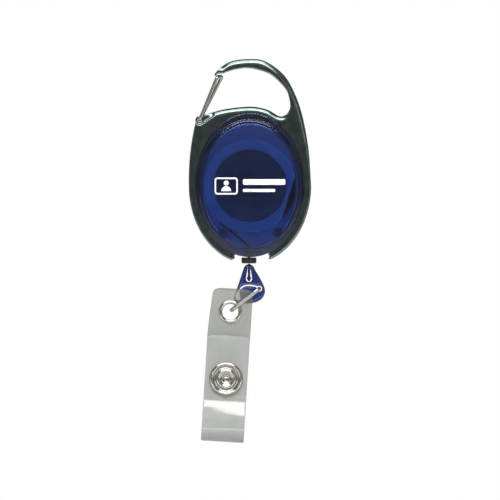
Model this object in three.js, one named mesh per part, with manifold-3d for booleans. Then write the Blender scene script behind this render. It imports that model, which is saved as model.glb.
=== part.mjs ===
// Retractable badge reel: a carabiner frame clamped between two translucent shells, a sprung
// spool inside them, a pull cord with its stopper and end connector, a wire link and a snap strap.
//
// Millimetres, +Z up. X runs to the right, Y runs away from the front face.
// Outlines are drawn from the centre of the case. The exported group is lowered so that the
// origin is at the inner crest of the hook, where the reel hangs.

import * as THREE from 'three';
import { mergeVertices } from 'three/addons/utils/BufferGeometryUtils.js';
import Module from 'manifold-3d';

const wasm = await Module();
wasm.setup();

// ---------------------------------------------------------------- driving dimensions

const RIM = { a: 16.1, top: 21.5, bottom: 20.9 };   // outer oval of the shells
const FACE = { a: 15.2, top: 19.5, bottom: 19.5 };  // raised oval face
const CASE_HALF = 5.7;            // mid-plane to the crown of a shell
const SHELL_WALL = 1.25;
const CAVITY = { a: 14.1, top: 18.4, bottom: 18.4 };
const FRAME_HALF = 2.5;           // half the frame's thickness
const FRAME_EDGE = 0.2;           // its broken edges
const FIT = 0.1;                  // gap between parts that are assembled
const RUNNING = 0.08;             // radial clearance on the axle

const HOOK_CREST = 34.6;          // inner crest of the hook
const GATE_PIVOT = { x: -14.8, z: 19.4 };
const GATE_WIRE = 0.5;            // wire radius
const GATE_SPREAD = 1.8;          // each leg's distance from the mid-plane
const TONGUE_HALF = 1.2;          // half the ear's thickness between the legs

const AXLE_R = 1.6;
const FLANGE_R = 13.7;
const DRUM_R = 11.3;              // the cord is wound on this
const CHAMBER_R = 10.5;           // the spring lies in this
const SPOOL_HALF = 3.0;
const FLANGE_T = 0.75;
const CHORD_CUT = 11.8;           // the front flange is cut straight at this distance
const CHORD_TILT = -17;           // degrees from +X

const CORD_R = 0.4;
const CORD_X = -0.3;
const GUIDE_R = 0.75;             // bore that the cord leaves through

const CONNECTOR = { top: -23.0, bottom: -34.5, thick: 1.3, thin: 1.0 };
const LINK_WIRE = 0.6;
const LINK_HALF = 3.1;            // half the link's depth, to the wire's middle
const LINK_TOP = { x: 2.7, z: -30.2 };
const LINK_END = { x: -5.4, z: -36.5 };

const STRAP_TILT = 3.56;          // degrees, the lower end to -X
const EYELET = { x: -5.8, z: -37.0 };
const STRAP_W = 12.6;
const STRAP_T = 0.5;
const STRAP_Y = -1.65;            // middle of the back layer
const FLAP_Y = -4.5;              // middle of the front layer at the snap
const STRAP_TOP = 6.9;            // from here on, heights from the eyelet's centre
const FLAP_TOP = -7.0;
const FOLD_Z = -36.0;
const SNAP_Z = -19.73;

// ---------------------------------------------------------------- geometry helpers

const rad = THREE.MathUtils.degToRad;
const v2 = (x, y) => new THREE.Vector2(x, y);
const v3 = (x, y, z) => new THREE.Vector3(x, y, z);

function signedVolume(position, index) {
  const [a, b, c] = [v3(), v3(), v3()];
  let volume = 0;
  for (let i = 0; i < index.length; i += 3) {
    a.fromBufferAttribute(position, index[i]);
    b.fromBufferAttribute(position, index[i + 1]);
    c.fromBufferAttribute(position, index[i + 2]);
    volume += a.dot(b.cross(c)) / 6;
  }
  return volume;
}

// Only positions, shared corners merged, no collapsed triangles, faces pointing out.
function closed(geometry) {
  geometry.deleteAttribute('normal');
  geometry.deleteAttribute('uv');
  const merged = mergeVertices(geometry, 1e-4);
  const kept = [];
  for (let i = 0; i < merged.index.count; i += 3) {
    const [a, b, c] = [0, 1, 2].map((k) => merged.index.getX(i + k));
    if (a !== b && b !== c && c !== a) kept.push(a, b, c);
  }
  if (signedVolume(merged.attributes.position, kept) < 0) kept.reverse();
  merged.setIndex(kept);
  return merged;
}

function toSolid(geometry) {
  const g = closed(geometry);
  return new wasm.Manifold(new wasm.Mesh({
    numProp: 3,
    vertProperties: new Float32Array(g.attributes.position.array),
    triVerts: new Uint32Array(g.index.array),
  }));
}

function toGeometry(solid) {
  const mesh = solid.getMesh();
  const geometry = new THREE.BufferGeometry();
  geometry.setAttribute('position', new THREE.BufferAttribute(mesh.vertProperties, 3));
  geometry.setIndex(new THREE.BufferAttribute(mesh.triVerts, 1));
  return geometry;
}

const join = (...parts) => toGeometry(parts.map(toSolid).reduce((all, part) => all.add(part)));
const cut = (part, ...tools) => toGeometry(
  tools.map(toSolid).reduce((left, tool) => left.subtract(tool), toSolid(part)),
);
const overlap = (a, b) => toGeometry(toSolid(a).intersect(toSolid(b)));

// A closed outline in X and Z, made solid from y = front to y = back, with optional round edges.
function plate(outline, front, back, edge = 0, steps = 1) {
  const shape = outline instanceof THREE.Shape ? outline : new THREE.Shape(outline);
  const geometry = new THREE.ExtrudeGeometry(shape, {
    depth: back - front - 2 * edge,
    bevelEnabled: edge > 0,
    bevelThickness: edge,
    bevelSize: edge,
    bevelOffset: -edge,
    bevelSegments: steps,
    curveSegments: 10,
  });
  geometry.rotateX(Math.PI / 2);
  return geometry.translate(0, back - edge, 0);
}

function block(x0, x1, y0, y1, z0, z1) {
  const box = new THREE.BoxGeometry(x1 - x0, y1 - y0, z1 - z0);
  return box.translate((x0 + x1) / 2, (y0 + y1) / 2, (z0 + z1) / 2);
}

// A round bar along Y.
function bar(r, front, back, x = 0, z = 0, sides = 24) {
  const geometry = new THREE.CylinderGeometry(r, r, back - front, sides);
  return geometry.translate(x, (front + back) / 2, z);
}

// A round piece about the Y axis from [radius, y] pairs. The profile closes on itself unless
// both its ends are on the axis.
function turned(profile, sides, x = 0, z = 0) {
  const points = profile.map(([r, y]) => v2(r, y));
  const onAxis = profile[0][0] === 0 && profile[profile.length - 1][0] === 0;
  if (!onAxis) points.push(points[0].clone());
  return new THREE.LatheGeometry(points, sides).translate(x, 0, z);
}

// As turned(), but oval: each point of the profile is [oval, y], with its own half axes.
function ovalTurned(profile, sides) {
  const points = profile.map(([oval, y]) => v2(oval.a, y));
  const geometry = new THREE.LatheGeometry(points, sides);
  const position = geometry.attributes.position;
  for (let k = 0; k < position.count; k += 1) {
    const [oval] = profile[k % profile.length];
    const z = position.getZ(k);
    const reach = z > 0 ? oval.top : oval.bottom;
    position.setZ(k, oval.a > 0 ? (z / oval.a) * reach : 0);
  }
  return geometry;
}

const inset = (oval, by) => ({ a: oval.a - by, top: oval.top - by, bottom: oval.bottom - by });
const scaled = (oval, by) => ({ a: oval.a * by, top: oval.top * by, bottom: oval.bottom * by });

function ovalPoint(oval, degrees) {
  const [c, s] = [Math.cos(rad(degrees)), Math.sin(rad(degrees))];
  return v2(oval.a * c, (s > 0 ? oval.top : oval.bottom) * s);
}

function ovalArc(oval, from, to, steps) {
  return Array.from({ length: steps + 1 }, (_, i) => ovalPoint(oval, from + ((to - from) * i) / steps));
}

function arc(x, z, r, from, to, steps) {
  return Array.from({ length: steps + 1 }, (_, i) => {
    const t = rad(from + ((to - from) * i) / steps);
    return v2(x + r * Math.cos(t), z + r * Math.sin(t));
  });
}

const spline = (points, steps) => new THREE.SplineCurve(points.map(([x, z]) => v2(x, z)))
  .getSpacedPoints(steps);

// A path of straight runs with round corners of the given radius.
function bentPath(corners, radius) {
  const path = new THREE.CurvePath();
  let from = corners[0];
  for (let i = 1; i < corners.length - 1; i += 1) {
    const at = corners[i];
    const back = corners[i - 1].clone().sub(at);
    const ahead = corners[i + 1].clone().sub(at);
    const reach = Math.min(radius, back.length() * 0.49, ahead.length() * 0.49);
    const start = at.clone().add(back.setLength(reach));
    const end = at.clone().add(ahead.setLength(reach));
    path.add(new THREE.LineCurve3(from, start));
    path.add(new THREE.QuadraticBezierCurve3(start, at, end));
    from = end;
  }
  path.add(new THREE.LineCurve3(from, corners[corners.length - 1]));
  return path;
}

// A round wire or cord along a path.
function wire(path, radius, steps, sides = 8) {
  const section = new THREE.Shape(arc(0, 0, radius, 0, 360 - 360 / sides, sides - 1));
  return new THREE.ExtrudeGeometry(section, { steps, bevelEnabled: false, extrudePath: path });
}

// Both sides of a centre line, as one closed outline of even thickness.
function ribbon(line, thickness) {
  const side = (sign) => line.map((p, i) => {
    const before = line[Math.max(i - 1, 0)];
    const after = line[Math.min(i + 1, line.length - 1)];
    const along = after.clone().sub(before).normalize();
    return v2(p.x - along.y * sign * (thickness / 2), p.y + along.x * sign * (thickness / 2));
  });
  return [...side(1), ...side(-1).reverse()];
}

function roundedRect(x0, x1, z0, z1, lower, upper) {
  const steps = 5;
  const corner = (x, z, r, from) => (r > 0 ? arc(x, z, r, from, from + 90, steps) : [v2(x, z)]);
  return [
    ...corner(x0 + lower, z0 + lower, lower, 180),
    ...corner(x1 - lower, z0 + lower, lower, 270),
    ...corner(x1 - upper, z1 - upper, upper, 0),
    ...corner(x0 + upper, z1 - upper, upper, 90),
  ];
}

// ---------------------------------------------------------------- materials

const finish = (color, roughness, metalness, opacity = 1) => new THREE.MeshStandardMaterial({
  color, roughness, metalness, opacity, transparent: opacity < 1,
});
const blackChrome = () => finish(0x3a4240, 0.25, 0.9);
const bluePlastic = () => finish(0x24409a, 0.15, 0, 0.6);
const nickel = () => finish(0xc8c6c0, 0.2, 1);
const springSteel = () => finish(0x4a4f58, 0.35, 1);
const whiteNylon = () => finish(0xe8ebf0, 0.45, 0);
const blackCord = () => finish(0x16171a, 0.8, 0);
const blackRubber = () => finish(0x2c2c26, 0.7, 0);
const clearVinyl = () => finish(0xb0b4ad, 0.25, 0, 0.6);

function mesh(name, geometry, material) {
  const piece = new THREE.Mesh(closed(geometry), material);
  piece.name = name;
  return piece;
}

// ---------------------------------------------------------------- carabiner frame

// The outline runs round the outside from the left arm to the nose, back along the inside of
// the loop and the crossbar, down the right side, and round the opening that holds the shells.
function frameOutline() {
  const outer = { a: 18.0, top: 22.9, bottom: 22.9 };
  const opening = inset(FACE, -FIT);
  const leftSide = new THREE.CubicBezierCurve(
    v2(-18, 0), v2(-18.2, 7), v2(-17.3, 13.5), v2(-16, 18.9),
  ).getPoints(10);
  const ear = arc(GATE_PIVOT.x, GATE_PIVOT.z, 1.3, 190, 110, 4);
  const crossbar = spline([
    [-12.4, 21.2], [-7.6, 22.6], [0, 23.4], [4.8, 22.6], [7.4, 21.2],
  ], 14);
  const valley = spline([[8.3, 20.7], [9.4, 20.5], [10.9, 21.3], [11.8, 23.2], [11.6, 25.3]], 9);
  const hookInside = spline([
    [10.8, 27.9], [8.4, 30.8], [5.2, 33.2], [0, 34.6], [-4.1, 34.3], [-7.4, 33.3],
  ], 18);
  const nose = [v2(-7.9, 33.05), v2(-9.7, 33.05), v2(-9.85, 32.35), v2(-10.45, 32.3)];
  const hookOutside = spline([
    [-10.4, 33.0], [-8.4, 35.1], [-5.2, 36.8], [0, 37.4], [4.4, 36.75], [9.4, 33.3], [12.4, 28.9],
    [15.2, 21.6], [17.2, 11.2], [18, 0],
  ], 38);
  return [
    ...ovalArc(outer, 254, 182, 12),
    ...leftSide, ...ear, ...crossbar, ...valley, ...hookInside, ...nose, ...hookOutside,
    ...ovalArc(outer, -2, -72.5, 12),
    v2(5.35, -20.2),
    ...ovalArc(opening, -69.5, 254.5, 54),
    v2(-4.1, -20.1),
  ];
}

// The wire gate straddles a thin tongue, so the ear is cut back from both faces.
function gatePocket(front, back) {
  const { x, z } = GATE_PIVOT;
  const sweep = 4.5;
  const edge = [...arc(x, z, 1.35, 150, 290, 8), ...arc(x, z, sweep, 18, 110, 8)];
  return plate(edge, front, back);
}

function carabinerFrame() {
  const past = FRAME_HALF + 1;
  const { x, z } = GATE_PIVOT;
  return cut(
    plate(frameOutline(), -FRAME_HALF, FRAME_HALF, FRAME_EDGE),
    gatePocket(-past, -TONGUE_HALF),
    gatePocket(TONGUE_HALF, past),
    bar(GATE_WIRE + FIT, -past, past, x, z, 16),
    block(-0.75, 0.75, -past, past, FACE.top - 0.5, 21.0),
  );
}

// ---------------------------------------------------------------- shells

const DOWEL = [{ x: -8.1, z: -14.1 }, { x: 8.4, z: -13.8 }, { x: 0, z: 16.2 }];
const DOWEL_R = 0.8;
const BOSS_R = 1.55;
const MID_GAP = 0.05;             // each shell stops this short of the mid-plane

// A shell's oval skin, from the mid-plane out to y = side * CASE_HALF.
function shellSkin(side) {
  const centre = { a: 0, top: 0, bottom: 0 };
  const ceiling = CASE_HALF - SHELL_WALL;
  const under = FRAME_HALF + FIT;
  const profile = [
    [centre, CASE_HALF],
    [scaled(FACE, 0.35), CASE_HALF],
    [scaled(FACE, 0.85), CASE_HALF - 0.25],
    [inset(FACE, 0.6), CASE_HALF - 0.5],
    [FACE, CASE_HALF - 1.1],
    [FACE, under + 0.9],
    [inset(RIM, 0.2), under + 0.8],
    [RIM, under + 0.5],
    [RIM, under],
    [FACE, under],
    [FACE, MID_GAP],
    [CAVITY, MID_GAP],
    [inset(CAVITY, 0.1), ceiling - 0.4],
    [inset(CAVITY, 0.5), ceiling],
    [centre, ceiling],
  ];
  return ovalTurned(profile.map(([oval, y]) => [oval, side * y]), 44);
}

// y0 and y1 are distances from the mid-plane, on the side that the shell is on.
const between = (side, y0, y1) => (side < 0 ? [-y1, -y0] : [y0, y1]);

function shell(side) {
  const ceiling = CASE_HALF - SHELL_WALL + 0.2;
  const span = (y0, y1) => between(side, y0, y1);
  const chin = overlap(
    block(-3.9, 5.1, ...span(MID_GAP, FRAME_HALF + FIT + 0.1), -21.5, -17.9),
    plate(ovalArc(inset(RIM, 0.05), 0, 354, 59), ...span(0, FRAME_HALF + 1)),
  );
  const body = join(
    shellSkin(side),
    chin,
    block(-0.65, 0.65, ...span(MID_GAP, FRAME_HALF + FIT + 0.1), FACE.top - 0.4, 20.9),
    bar(2.5, ...span(SPOOL_HALF + 0.15, ceiling)),
    ...DOWEL.map(({ x, z }) => bar(BOSS_R, ...span(MID_GAP, ceiling), x, z)),
  );
  const throat = new THREE.CylinderGeometry(GUIDE_R, GUIDE_R, 4, 16)
    .rotateX(Math.PI / 2).translate(CORD_X, 0, -19.6);
  const holes = [throat, bar(AXLE_R + RUNNING, ...span(2.5, CASE_HALF - SHELL_WALL - 0.05))];
  if (side > 0) return cut(body, ...holes);
  const sockets = DOWEL.map(({ x, z }) => bar(DOWEL_R + FIT, -3.2, 0.5, x, z, 16));
  return cut(body, ...holes, ...sockets);
}

// The back shell's dowels go into the front shell's sockets.
function backShell() {
  return join(shell(1), ...DOWEL.map(({ x, z }) => bar(DOWEL_R, -2.8, 1, x, z, 16)));
}

// ---------------------------------------------------------------- reel

// The spring's inner end sits in the slot of this fixed arbor.
function springArbor() {
  const reach = CASE_HALF - SHELL_WALL - 0.25;
  return cut(bar(AXLE_R, -reach, reach, 0, 0, 32), block(-3, 3, -reach - 1, 1.9, -0.25, 0.25));
}

// Drum wall, back flange and hub, open to the front where the spring is laid in.
function spool() {
  const back = SPOOL_HALF;
  const floor = SPOOL_HALF - FLANGE_T;
  const front = -floor + MID_GAP;
  return turned([
    [AXLE_R + RUNNING, back], [FLANGE_R - 0.2, back], [FLANGE_R, back - 0.2], [FLANGE_R, floor + 0.15],
    [FLANGE_R - 0.15, floor], [DRUM_R, floor], [DRUM_R, front], [CHAMBER_R, front],
    [CHAMBER_R, floor], [2.7, floor], [2.7, floor - 0.3], [AXLE_R + RUNNING, floor - 0.3],
  ], 40);
}

// The ring that closes the cord's channel in front, with one side cut straight.
function spoolFlange() {
  const [front, back] = [-SPOOL_HALF, -SPOOL_HALF + FLANGE_T];
  const ring = turned([
    [10.8, front], [FLANGE_R - 0.2, front], [FLANGE_R, front + 0.2], [FLANGE_R, back], [10.8, back],
  ], 40);
  const cutter = block(CHORD_CUT, CHORD_CUT + 5, front - 1, back + 1, -12, 12);
  return cut(ring, cutter.rotateY(-rad(CHORD_TILT)));
}

// A flat steel strip wound from the arbor's slot out to the chamber's wall.
function spiralSpring() {
  const [inner, outer, coils, perCoil] = [2.15, 10.2, 6, 16];
  const count = coils * perCoil;
  const line = [v2(0.5, 0), v2(1.2, 0), v2(1.8, 0)];
  for (let i = 1; i <= count; i += 1) {
    const turn = (i / perCoil) * 2 * Math.PI;
    const r = inner + ((outer - inner) * i) / count;
    line.push(v2(r * Math.cos(turn), r * Math.sin(turn)));
  }
  return plate(ribbon(line, 0.2), -1.9, 1.7);
}

function woundCord() {
  const [inner, outer, half] = [DRUM_R + 0.08, FLANGE_R - 0.4, 2.15];
  return turned([
    [inner, -half], [outer - 0.35, -half], [outer, -half + 0.4], [outer, half - 0.4],
    [outer - 0.35, half], [inner, half],
  ], 36);
}

// From the winding, where it leaves on a tangent, to the mouth of the guide.
function cordRun() {
  const leaves = FLANGE_R + 0.05;
  const mouth = v3(CORD_X, 0, -18.4);
  const bend = v3(CORD_X, 0, -17.6);
  const distance = Math.hypot(bend.x, bend.z);
  const toBend = Math.atan2(bend.z, bend.x);
  const at = toBend - Math.acos(leaves / distance);
  const start = v3(leaves * Math.cos(at), 0, leaves * Math.sin(at));
  return wire(bentPath([start, bend, mouth], 0.7), CORD_R, 14);
}

const STOPPER = { top: -21.0, bottom: -22.75, r: 2.2 };

const upright = (geometry, x, z) => geometry.rotateX(Math.PI / 2).translate(x, 0, z);

function pullCord() {
  const [top, bottom] = [-18.45, STOPPER.bottom];
  const tube = new THREE.CylinderGeometry(CORD_R, CORD_R, top - bottom, 8, 4);
  return upright(tube, CORD_X, (top + bottom) / 2);
}

function cordStopper() {
  const { top, bottom, r } = STOPPER;
  const bore = CORD_R + 0.06;
  const bead = turned([
    [bore, top], [r - 0.3, top], [r, top - 0.3], [r, bottom + 0.75], [r - 0.45, bottom], [bore, bottom],
  ], 28);
  return bead.rotateX(Math.PI / 2).translate(CORD_X, 0, 0);
}

// ---------------------------------------------------------------- cord end and connector

// The connector swings about PIVOT, the middle of its round top.
const PIVOT = { x: CORD_X, z: -24.3, r: 1.3 };
const KNOT = { x: CORD_X, z: -27.2, r: 0.8 };

function cordKnot() {
  const top = STOPPER.bottom - 0.1;
  const tail = new THREE.CylinderGeometry(CORD_R, CORD_R, top - KNOT.z, 8, 3);
  const ball = new THREE.SphereGeometry(KNOT.r, 12, 8).scale(1, 1, 1.15);
  return join(
    upright(tail, CORD_X, (top + KNOT.z) / 2),
    ball.translate(KNOT.x, 0, KNOT.z),
  );
}

// A drop-shaped plate. The knot sits in its upper window and the link in the hole at its right.
function connector() {
  const { top, bottom, thick, thin } = CONNECTOR;
  const outline = [
    ...arc(PIVOT.x, PIVOT.z, PIVOT.r, 175, 5, 8),
    ...spline([[1.5, -24.7], [2.7, -26.6], [4.1, -29.4], [4.4, -31.3], [3.6, -33.0],
      [1.9, -34.1], [-0.2, bottom]], 16),
    ...arc(-3.4, -33.0, 1.35, 265, 160, 6),
  ];
  const side = new THREE.Shape([
    v2(-thick, top + 1), v2(thick, top + 1), v2(thick, -28.6),
    v2(thin, -30), v2(thin, bottom - 1), v2(-thin, bottom - 1), v2(-thin, -30), v2(-thick, -28.6),
  ]);
  const depth = new THREE.ExtrudeGeometry(side, { depth: 14, bevelEnabled: false });
  depth.applyMatrix4(new THREE.Matrix4().makeBasis(v3(0, 1, 0), v3(0, 0, 1), v3(1, 0, 0)));
  const body = overlap(plate(outline, -thick, thick, 0.4), depth.translate(-7, 0, 0));
  const past = thick + 1;
  const window = [
    ...spline([[-0.75, -23.9], [-1.25, -25.4], [-1.6, -27.2]], 4),
    ...arc(KNOT.x, -27.3, 1.15, 180, 360, 8),
    ...spline([[0.7, -27.0], [0.45, -25.4], [0.15, -23.9]], 4),
  ];
  const slit = ribbon(spline([[2.4, -29.7], [0.9, -29.3], [-0.8, -29.2], [-2.4, -29.8], [-3.5, -31.4]], 10), 0.55);
  const lowerWindow = [v2(-3.2, -31.2), v2(-3.9, -31.3), v2(-4.3, -32.9), v2(-3.7, -33.5), v2(-2.8, -33.2)];
  const cordHole = new THREE.CylinderGeometry(CORD_R + FIT, CORD_R + FIT, 3, 12);
  return cut(
    body,
    plate(window, -past, past),
    plate(slit, -past, past),
    plate(lowerWindow, -past, past),
    bar(LINK_WIRE + 0.25, -past, past, LINK_TOP.x, LINK_TOP.z, 20),
    upright(cordHole, CORD_X, top - 0.9),
  );
}

// A closed wire link with straight sides, butted behind.
function linkRing() {
  const top = v3(LINK_TOP.x, 0, LINK_TOP.z);
  const end = v3(LINK_END.x, 0, LINK_END.z);
  const at = (share, y) => top.clone().lerp(end, share).setY(y);
  const gap = 0.012;
  return wire(bentPath([
    at(0.5 - gap, LINK_HALF), at(0, LINK_HALF), at(0, -LINK_HALF), at(1, -LINK_HALF),
    at(1, LINK_HALF), at(0.5 + gap, LINK_HALF),
  ], 1.7), LINK_WIRE, 36, 8);
}

// ---------------------------------------------------------------- strap

const HALF_W = STRAP_W / 2;
const LAYER = [STRAP_Y - STRAP_T / 2, STRAP_Y + STRAP_T / 2];

function strapBack() {
  return cut(
    plate(roundedRect(-HALF_W, HALF_W, FOLD_Z + 0.15, STRAP_TOP, 0, 1.8), ...LAYER),
    bar(2.6, -5, 5, 0, 0, 28),
    bar(1.3, -5, 5, 0, SNAP_Z, 16),
  );
}

// The fold, the loop below the snap and the flap in front, as one strip.
function strapFront() {
  const fold = new THREE.SplineCurve([
    v2(STRAP_Y, FOLD_Z - 0.15), v2(-2.3, -37.3), v2(-4.0, -38.0), v2(-6.0, -37.1), v2(-7.3, -34.2),
    v2(-7.0, -31.0), v2(-5.9, -27.9), v2(-4.85, -25.9), v2(FLAP_Y, -24.6),
  ]).getSpacedPoints(26);
  const side = new THREE.Shape(ribbon([...fold, v2(FLAP_Y, FLAP_TOP)], STRAP_T));
  const strip = new THREE.ExtrudeGeometry(side, { depth: STRAP_W, bevelEnabled: false });
  strip.applyMatrix4(new THREE.Matrix4().makeBasis(v3(0, 1, 0), v3(0, 0, 1), v3(1, 0, 0)));
  strip.translate(-HALF_W, 0, 0);
  const outline = plate(roundedRect(-HALF_W - 0.1, HALF_W + 0.1, -50, FLAP_TOP + 0.1, 0, 1.7), -12, 2);
  return cut(overlap(strip, outline), bar(1.3, FLAP_Y - 1, FLAP_Y + 1, 0, SNAP_Z, 16));
}

// Rolled front ring and barrel.
function eyelet() {
  const [front, back] = LAYER;
  return turned([
    [2.35, front - 0.15], [2.6, front - 0.42], [2.95, front - 0.48], [3.3, front - 0.35],
    [3.5, front - 0.05], [2.5, front - 0.05], [2.5, back + 0.35], [3.0, back + 0.4],
    [2.9, back + 0.6], [2.35, back + 0.5],
  ], 28);
}

function eyeletWasher() {
  const back = LAYER[1];
  return turned([[2.6, back + 0.05], [3.45, back + 0.05], [3.3, back + 0.28], [2.6, back + 0.3]], 28);
}

// Four pieces make the press snap: a cap and a socket on the flap, a stud and its post behind.
function snapCap() {
  const seat = FLAP_Y - STRAP_T / 2 - 0.05;
  return turned([
    [0, seat - 0.1], [0.75, seat - 0.15], [1.0, seat - 0.55], [1.7, seat - 0.45], [2.05, seat - 0.8],
    [2.5, seat - 0.9], [2.9, seat - 0.7], [3.15, seat - 0.35], [3.6, seat - 0.3], [3.85, seat - 0.75],
    [4.25, seat - 1.0], [4.7, seat - 0.85], [4.95, seat - 0.4], [4.85, seat], [1.2, seat],
    [1.2, seat + 0.7], [0, seat + 0.7],
  ], 24, 0, SNAP_Z);
}

function snapSocket() {
  const seat = FLAP_Y + STRAP_T / 2 + 0.05;
  return turned([
    [2.15, seat], [4.6, seat], [4.6, seat + 0.9], [4.1, seat + 1.5], [2.3, seat + 1.5], [2.15, seat + 1.3],
  ], 24, 0, SNAP_Z);
}

function snapStud() {
  const seat = LAYER[0] - 0.05;
  return turned([
    [1.3, seat], [4.2, seat], [4.2, seat - 0.3], [2.1, seat - 0.4], [1.8, seat - 1.1], [2.0, seat - 1.6],
    [1.8, seat - 1.95], [1.3, seat - 1.95],
  ], 24, 0, SNAP_Z);
}

function snapPost() {
  const seat = LAYER[1] + 0.05;
  return turned([
    [0, seat + 0.75], [3.0, seat + 0.7], [4.3, seat + 0.5], [4.7, seat + 0.15], [4.6, seat],
    [1.2, seat], [1.2, seat - 1.6], [0, seat - 1.6],
  ], 24, 0, SNAP_Z);
}

// ---------------------------------------------------------------- gate

// One wire: each end turns into the ear's hole, the legs pass either side of the tongue, and
// the arch at the top rests inside the nose. The legs lean apart towards the top.
function gate() {
  const { x, z } = GATE_PIVOT;
  const y = GATE_SPREAD;
  return wire(bentPath([
    v3(x, -0.2, z), v3(x, -y, z), v3(-9.6, -y, 32.2), v3(-8.75, 0, 32.2), v3(-8.2, y, 32.2),
    v3(x, y, z), v3(x, 0.2, z),
  ], 0.9), GATE_WIRE, 44);
}

// ---------------------------------------------------------------- assembly

const reel = new THREE.Group();
reel.position.z = -HOOK_CREST;
reel.add(
  mesh('carabiner_frame', carabinerFrame(), blackChrome()),
  mesh('front_shell', shell(-1), bluePlastic()),
  mesh('back_shell', backShell(), bluePlastic()),
  mesh('spring_arbor', springArbor(), whiteNylon()),
  mesh('gate_wire', gate(), nickel()),
  mesh('spool', spool(), whiteNylon()),
  mesh('spool_flange', spoolFlange(), whiteNylon()),
  mesh('spiral_spring', spiralSpring(), springSteel()),
  mesh('wound_cord', woundCord(), blackCord()),
  mesh('cord_run', cordRun(), blackCord()),
  mesh('pull_cord', pullCord(), blackCord()),
  mesh('cord_stopper', cordStopper(), blackRubber()),
  mesh('cord_knot', cordKnot(), blackCord()),
  mesh('cord_connector', connector(), bluePlastic()),
  mesh('link_ring', linkRing(), nickel()),
);

const strap = new THREE.Group();
strap.position.set(EYELET.x, 0, EYELET.z);
strap.rotation.y = rad(STRAP_TILT);
strap.add(
  mesh('strap_back', strapBack(), clearVinyl()),
  mesh('strap_eyelet', eyelet(), nickel()),
  mesh('eyelet_washer', eyeletWasher(), nickel()),
  mesh('snap_stud', snapStud(), nickel()),
  mesh('snap_post', snapPost(), nickel()),
  mesh('strap_flap', strapFront(), clearVinyl()),
  mesh('snap_socket', snapSocket(), nickel()),
  mesh('snap_cap', snapCap(), nickel()),
);
reel.add(strap);

export default reel;
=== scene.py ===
import math

import bmesh
import bpy
import numpy as np
from mathutils import Matrix, Vector


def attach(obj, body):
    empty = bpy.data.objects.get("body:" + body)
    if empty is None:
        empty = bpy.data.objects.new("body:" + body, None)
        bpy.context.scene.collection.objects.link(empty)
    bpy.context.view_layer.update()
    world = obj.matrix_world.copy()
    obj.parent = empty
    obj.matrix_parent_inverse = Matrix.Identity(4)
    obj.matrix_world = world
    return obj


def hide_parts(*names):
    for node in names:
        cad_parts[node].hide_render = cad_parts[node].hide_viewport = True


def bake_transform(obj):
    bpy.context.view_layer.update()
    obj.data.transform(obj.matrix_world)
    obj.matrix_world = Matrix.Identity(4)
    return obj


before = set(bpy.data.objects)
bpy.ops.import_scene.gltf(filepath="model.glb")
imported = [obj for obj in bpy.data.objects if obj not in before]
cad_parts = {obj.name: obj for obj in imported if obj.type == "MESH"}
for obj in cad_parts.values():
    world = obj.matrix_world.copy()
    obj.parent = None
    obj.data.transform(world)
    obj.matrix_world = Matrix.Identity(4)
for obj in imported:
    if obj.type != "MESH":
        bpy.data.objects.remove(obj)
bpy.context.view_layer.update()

MM = 0.001
HOOK_CREST = 34.6                 # the case's centre lies this far below the origin

# ---------------------------------------------------------------- sizes, in mm

RIM = (16.1, 21.5, 20.9)          # an oval: half width, reach up, reach down
FACE = (15.2, 19.5, 19.5)
CAVITY = (14.1, 18.4, 18.4)
CASE_HALF = 5.7
WALL = 1.25
FRAME_HALF = 2.5
FIT = 0.1
FLANGE_R, DRUM_R, CHAMBER_R = 13.7, 11.3, 10.5
SPOOL_HALF, SPOOL_INNER = 3.0, 2.25   # to a flange's outer and inner face
AXLE_R, AXLE_HOLE = 1.6, 1.68
GATE_X, GATE_Z = -14.8, 19.4
CORD_X = -0.3
CORD_R = 0.4
TWIST = 1.6                       # one turn of the cord's strands
TILT = math.radians(3.56)
EYELET_X, EYELET_Z = -5.8, -37.0
STRAP_TOP, FLAP_TOP = 6.9, -7.0    # these and the snap are heights from the eyelet
SNAP_Z = -19.73
STRAP_Y, FLAP_Y = -1.65, -4.5
STRAP_T, STRAP_W = 0.5, 12.6


def rad(degrees):
    return math.radians(degrees)


# ---------------------------------------------------------------- curves in x and z

def oval_point(oval, degrees):
    c, s = math.cos(rad(degrees)), math.sin(rad(degrees))
    return (oval[0] * c, (oval[1] if s > 0 else oval[2]) * s)


def oval_arc(oval, start, end, steps):
    return [oval_point(oval, start + (end - start) * i / steps) for i in range(steps + 1)]


def arc(x, z, r, start, end, steps):
    return [(x + r * math.cos(rad(start + (end - start) * i / steps)),
             z + r * math.sin(rad(start + (end - start) * i / steps))) for i in range(steps + 1)]


def spline(points, per=8):
    """A smooth curve through the points, in any number of dimensions."""
    out = []
    ends = [points[0]] + list(points) + [points[-1]]
    for k in range(1, len(ends) - 2):
        a, b, c, d = ends[k - 1:k + 3]
        for i in range(per):
            t = i / per
            out.append(tuple(
                0.5 * (2 * q + (r - p) * t + (2 * p - 5 * q + 4 * r - s) * t * t
                       + (3 * q - p - 3 * r + s) * t ** 3)
                for p, q, r, s in zip(a, b, c, d)))
    return out + [tuple(points[-1])]


def bezier(a, b, c, d, steps):
    out = []
    for i in range(steps + 1):
        t = i / steps
        out.append(tuple((1 - t) ** 3 * p + 3 * t * (1 - t) ** 2 * q + 3 * t * t * (1 - t) * r + t ** 3 * s
                         for p, q, r, s in zip(a, b, c, d)))
    return out


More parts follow.
